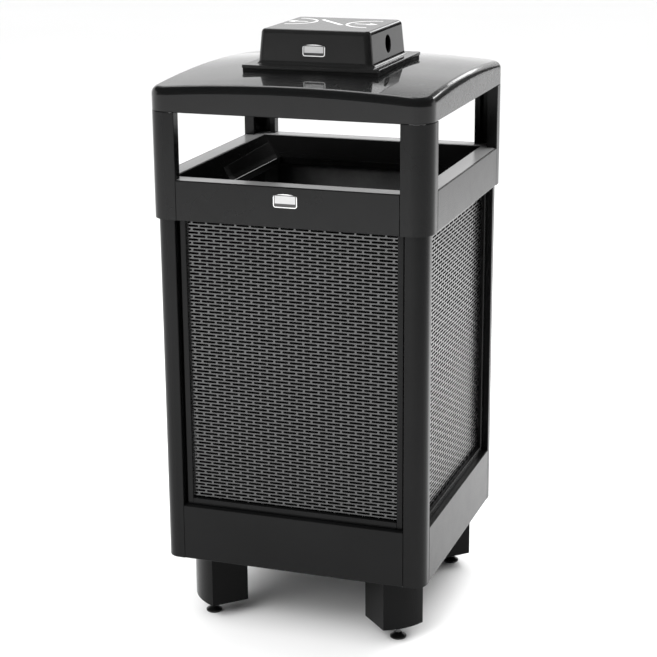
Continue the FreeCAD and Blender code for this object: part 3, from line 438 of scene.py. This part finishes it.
MATERIALS = {
    "cabinet_coat": powder_coat("cabinet_coat", 0.005, 0.20, 0.000010, specular=0.13),
    "hood_coat": powder_coat("hood_coat", 0.0055, 0.20, 0.000010, specular=0.19),
    "lid_gloss": powder_coat("lid_gloss", 0.005, 0.40, 0.0000005, specular=0.10, coat=1.0, coat_rough=0.03,
                             coat_index=1.36),
    "funnel_gloss": sheet_funnel("funnel_gloss"),
    "urn_coat": powder_coat("urn_coat", 0.010, 0.13, 0.000006),
    "urn_print": printed_urn("urn_print"),
    # painted shade: the legs get a darker, less reflective copy of the cabinet's coat, for the shade under
    # the bin
    "leg_coat": powder_coat("leg_coat", 0.003, 0.20, 0.000010, specular=0.08),
    "perforated_sheet": pierced_sheet("perforated_sheet", 0.070, 0.26),
    "liner_plastic": tub_plastic("liner_plastic"),
    "foot_plastic": plastic("foot_plastic", 0.006, 0.30, 0.00003),
    "gasket_rubber": plastic("gasket_rubber", 0.008, 0.7, 0.00005, specular=0.3),
    "zinc": brushed("zinc", 0.60, 0.28, (1.0, 1.0, 8.0)),
    "pan_steel": brushed("pan_steel", 0.45, 0.30, (12.0, 1.0, 1.0)),
    "hood_badge": badge_plate("hood_badge", "hood_badge"),
    "urn_badge": badge_plate("urn_badge", "urn_badge"),
}
# nodes with a finish of their own: something printed or formed on it, or the hood's slightly glossier coat
SPECIAL = {"urn_cover": "urn_print", "hood_badge": "hood_badge", "urn_badge": "urn_badge"}
SPECIAL.update({name: "hood_coat" for name in frame["nodes"] if name.startswith(("hood_post", "hood_band"))})


def finish_of(obj, slot):
    obj.data.materials.clear()
    obj.data.materials.append(MATERIALS[slot])


# ---------------------------------------------------------------- meshes
def replace_node(node, name, vertices, faces, slot):
    """A new piece with its own mesh, which stands for a CAD node and rides on the same body."""
    mesh = bpy.data.meshes.new(name)
    mesh.from_pydata(vertices, [], faces)
    mesh.validate()
    mesh.update()
    piece = bpy.data.objects.new(name, mesh)
    bpy.context.scene.collection.objects.link(piece)
    finish_of(piece, slot)
    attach(piece, BODY_OF[node])
    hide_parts(node)


class SheetMesh:
    """An upright flat sheet: polygons drawn in its plane, on both its faces, and walls through it.

    A place in its plane is (u, v): u level along the sheet, and v the height.
    """

    def __init__(self, low, high):
        self.thin = 0 if high.x - low.x < high.y - low.y else 1
        self.planes = (low[self.thin], high[self.thin])
        self.vertices, self.faces, self.seen = [], [], {}

    def vertex(self, u, v, face):
        key = (round(u, 7), round(v, 7), face)
        if key not in self.seen:
            point = [u, u, v]
            point[self.thin] = self.planes[face]
            self.seen[key] = len(self.vertices)
            self.vertices.append(tuple(point))
        return self.seen[key]

    def fill(self, *points):
        """The same polygon on both faces of the sheet, with opposite windings, if it has three corners."""
        if len(set(points)) < 3:
            return
        for face in (0, 1):
            ring = [self.vertex(u, v, face) for u, v in points]
            self.faces.append(ring[::-1] if face == self.thin else ring)

    def wall(self, start, end):
        """A quad through the sheet's thickness. It faces left of the way from start to end, if u is right."""
        quad = [self.vertex(*start, 0), self.vertex(*end, 0), self.vertex(*end, 1), self.vertex(*start, 1)]
        self.faces.append(quad if self.thin == 1 else quad[::-1])


def slot_end(edge, side, middle, limit):
    """One end of a slot, from foot to top: a half circle, or straight where the margin cuts it off."""
    radius = SLOT_HEIGHT / 2
    cut_off = math.isclose(abs(edge), limit)
    points = []
    for step in range(END_STEPS + 1):
        angle = math.pi * (step / END_STEPS - 0.5)
        inward = 0.0 if cut_off else radius * (1 - math.cos(angle))
        points.append((edge - side * inward, middle + radius * math.sin(angle)))
    return points


def slotted_cell(sheet, corners, right, left):
    """A cell of the sheet with its slot: triangles from the cell's outline to the slot's, and its walls."""
    foot_left, foot, foot_right, top_right, top, top_left = corners
    sheet.fill(foot_left, foot, left[0])
    sheet.fill(foot, right[0], left[0])
    sheet.fill(foot, foot_right, right[0])
    sheet.fill(top_right, top, right[-1])
    sheet.fill(top, left[-1], right[-1])
    sheet.fill(top, top_left, left[-1])
    half = END_STEPS // 2
    for step in range(END_STEPS):
        sheet.fill(foot_right if step < half else top_right, right[step + 1], right[step])
        sheet.fill(foot_left if step < half else top_left, left[step], left[step + 1])
    sheet.fill(foot_right, top_right, right[half])
    sheet.fill(top_left, foot_left, left[half])
    outline = right + left[::-1]
    for place, point in enumerate(outline):
        sheet.wall(outline[place - 1], point)


def slotted_sheet(node):
    """A perforated sheet in place of a whole one: a grid of cells with a round-ended slot in each.

    Where the margin leaves too little of a slot, its cell is plain, and is drawn without edge walls.
    """
    low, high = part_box(node)
    sheet = SheetMesh(low, high)
    half = (high[1 - sheet.thin] - low[1 - sheet.thin]) / 2
    limit = half - SHEET_MARGIN
    rows = int((high.z - low.z) / ROW_PITCH)
    first = low.z + (high.z - low.z - rows * ROW_PITCH) / 2
    heights = [low.z] + [first + row * ROW_PITCH for row in range(1, rows)] + [high.z]
    for row in range(rows):
        bottom, top = heights[row], heights[row + 1]
        middle = first + (row + 0.5) * ROW_PITCH
        shift = (0.25 if row % 2 else -0.25) * SLOT_PITCH
        reach = math.ceil(half / SLOT_PITCH) + 1
        for count in range(-reach, reach + 1):
            start = max(shift + count * SLOT_PITCH, -half)
            end = min(shift + (count + 1) * SLOT_PITCH, half)
            if end <= start:
                continue
            centre = shift + (count + 0.5) * SLOT_PITCH
            between = min(max(centre, -half), half)
            corners = [(start, bottom), (between, bottom), (end, bottom),
                       (end, top), (between, top), (start, top)]
            slot_left = max(centre - SLOT_LENGTH / 2, -limit)
            slot_right = min(centre + SLOT_LENGTH / 2, limit)
            if slot_right - slot_left < SHORTEST_SLOT * SLOT_HEIGHT / 2:
                outline = [point for place, point in enumerate(corners) if point != corners[place - 1]]
                sheet.fill(*outline)
                continue
            slotted_cell(sheet, corners, slot_end(slot_right, 1, middle, limit),
                         slot_end(slot_left, -1, middle, limit))
            if start == -half:
                sheet.wall((start, bottom), (start, top))
            if end == half:
                sheet.wall((end, top), (end, bottom))
            if row == 0:
                sheet.wall(corners[1], corners[0])
                sheet.wall(corners[2], corners[1])
            if row == rows - 1:
                sheet.wall(corners[4], corners[3])
                sheet.wall(corners[5], corners[4])
    replace_node(node, node.replace("perforated_panel", "slotted_panel"), sheet.vertices, sheet.faces,
                 "perforated_sheet")


def threaded_stem(node):
    """A levelling foot's stem with its thread: one surface whose radius follows the helix."""
    low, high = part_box(node)
    centre, radius = (low + high) / 2, (high.x - low.x) / 2 * THREAD_FIT
    count = int((high.z - low.z) / THREAD_PITCH * THREAD_STEPS)
    vertices, faces = [], []
    for ring in range(count + 1):
        z = low.z + (high.z - low.z) * ring / count
        for side in range(THREAD_SIDES):
            turn = side / THREAD_SIDES
            phase = (ring / THREAD_STEPS - turn) % 1.0
            reach = radius - THREAD_DEPTH * abs(2 * phase - 1)
            angle = 2 * math.pi * turn
            vertices.append((centre.x + reach * math.cos(angle), centre.y + reach * math.sin(angle), z))
    for ring in range(count):
        for side in range(THREAD_SIDES):
            here, beside = ring * THREAD_SIDES + side, ring * THREAD_SIDES + (side + 1) % THREAD_SIDES
            faces.append((here, beside, beside + THREAD_SIDES, here + THREAD_SIDES))
    faces.append(tuple(reversed(range(THREAD_SIDES))))
    faces.append(tuple(range(count * THREAD_SIDES, (count + 1) * THREAD_SIDES)))
    replace_node(node, node.replace("stem", "thread"), vertices, faces, "zinc")


# ---------------------------------------------------------------- studio
def make_floor(half, level):
    """A pale, slightly uneven floor."""
    mesh = bpy.data.meshes.new("floor")
    corners = [(-half, -half, 0), (half, -half, 0), (half, half, 0), (-half, half, 0)]
    mesh.from_pydata(corners, [], [(0, 1, 2, 3)])
    plane = bpy.data.objects.new("floor", mesh)
    bpy.context.scene.collection.objects.link(plane)
    m = Surface("floor")
    m.vary(Base_Color=m.colours(m.noise(0.8), (0.3, grey(level * 0.99)), (0.7, grey(level))))
    m.set(Roughness=0.9, Specular_IOR_Level=0.0)
    mesh.materials.append(m.material)


def add_light(name, data, power, towards, place=(0.0, 0.0, 0.0)):
    """A light whose back is turned to the direction given, left out of reflections."""
    data.energy = power
    light = bpy.data.objects.new(name, data)
    light.location = place
    light.rotation_mode = "QUATERNION"
    light.rotation_quaternion = Vector(towards).to_track_quat("Z", "Y")
    light.visible_glossy = False
    bpy.context.scene.collection.objects.link(light)


def area_light(name, place, aim, size, power):
    data = bpy.data.lights.new(name, "AREA")
    data.shape = "RECTANGLE"
    data.size, data.size_y = size
    add_light(name, data, power, Vector(place) - Vector(aim), place)


def sun_light(name, towards, strength, degrees):
    data = bpy.data.lights.new(name, "SUN")
    data.angle = math.radians(degrees)
    add_light(name, data, strength, towards)


def sky_window(nodes, azimuth, elevation, left, right, low, high, soft):
    """1 inside a rectangle of the sky, falling to 0 around it over soft degrees."""
    inside = 1.0
    for value, start, end in ((azimuth, left, right), (elevation, low, high)):
        for outer, inner in ((start - soft, start), (end + soft, end)):
            step = nodes.spread(value, 0.0, 1.0, outer, inner, interpolation_type="SMOOTHSTEP")
            inside = nodes.math("MULTIPLY", step, inside)
    return inside


def studio_sky(towards_camera):
    """The studio seen in reflections: a pale backdrop low behind the bin, soft boxes, and dark elsewhere."""
    world = bpy.data.worlds.new("studio")
    bpy.context.scene.world = world
    world.use_nodes = True
    nodes = Nodes(world.node_tree)
    direction = nodes.add("ShaderNodeTexCoord").outputs["Generated"]
    x, y, z = nodes.split(direction)
    azimuth = nodes.math("MULTIPLY", nodes.math("ARCTAN2", x, y), math.degrees(1))
    elevation = nodes.math("MULTIPLY", nodes.math("ARCSINE", z), math.degrees(1))
    forward = nodes.vector("DOT_PRODUCT", direction, towards_camera, "Value")
    behind = nodes.colours(nodes.math("MULTIPLY_ADD", forward, 0.5, 0.5),
                           *((turn, grey(level)) for turn, level in SKY_ROUND))
    profile = nodes.colours(nodes.math("DIVIDE", elevation, 90.0),
                            *((degrees / 90, grey(level / SKY_TOP)) for degrees, level in SKY_PROFILE))
    total = nodes.math("MULTIPLY", nodes.math("MULTIPLY", behind, profile), SKY_TOP)
    for *edges, level in SKY_BOXES:
        total = nodes.math("MULTIPLY_ADD", sky_window(nodes, azimuth, elevation, *edges), level, total)
    flag = sky_window(nodes, azimuth, elevation, *SKY_FLAG)
    total = nodes.math("MULTIPLY", total, nodes.math("SUBTRACT", 1.0, flag))
    background = nodes.add("ShaderNodeBackground")
    nodes.link(total, background.inputs["Strength"])
    output = nodes.add("ShaderNodeOutputWorld")
    nodes.link(background.outputs[0], output.inputs["Surface"])


def main():
    towards_camera = make_camera()
    slots = {part["node"]: part["material_slot"] for part in frame["record"]["subparts"]}
    for name, obj in frame["nodes"].items():
        finish_of(obj, SPECIAL.get(name, slots[name]))
    for side in SIDES:
        slotted_sheet("perforated_panel_" + side)
    for corner in CORNERS:
        threaded_stem("foot_stem_" + corner)
    make_floor(half=40.0, level=0.85)
    studio_sky(towards_camera)
    sun_light("overhead", towards=(0.0, 0.1, 1.0), strength=3.2, degrees=110.0)
    area_light("back_wash", place=(0.9, 1.5, 2.2), aim=(0.8, 1.2, 0.0), size=(2.0, 2.0), power=82.0)
    area_light("front_wash", place=(-1.4, -2.8, 2.4), aim=(-0.6, -1.6, 0.0), size=(3.5, 2.5), power=145.0)
    bpy.context.scene.view_settings.view_transform = "Standard"


main()
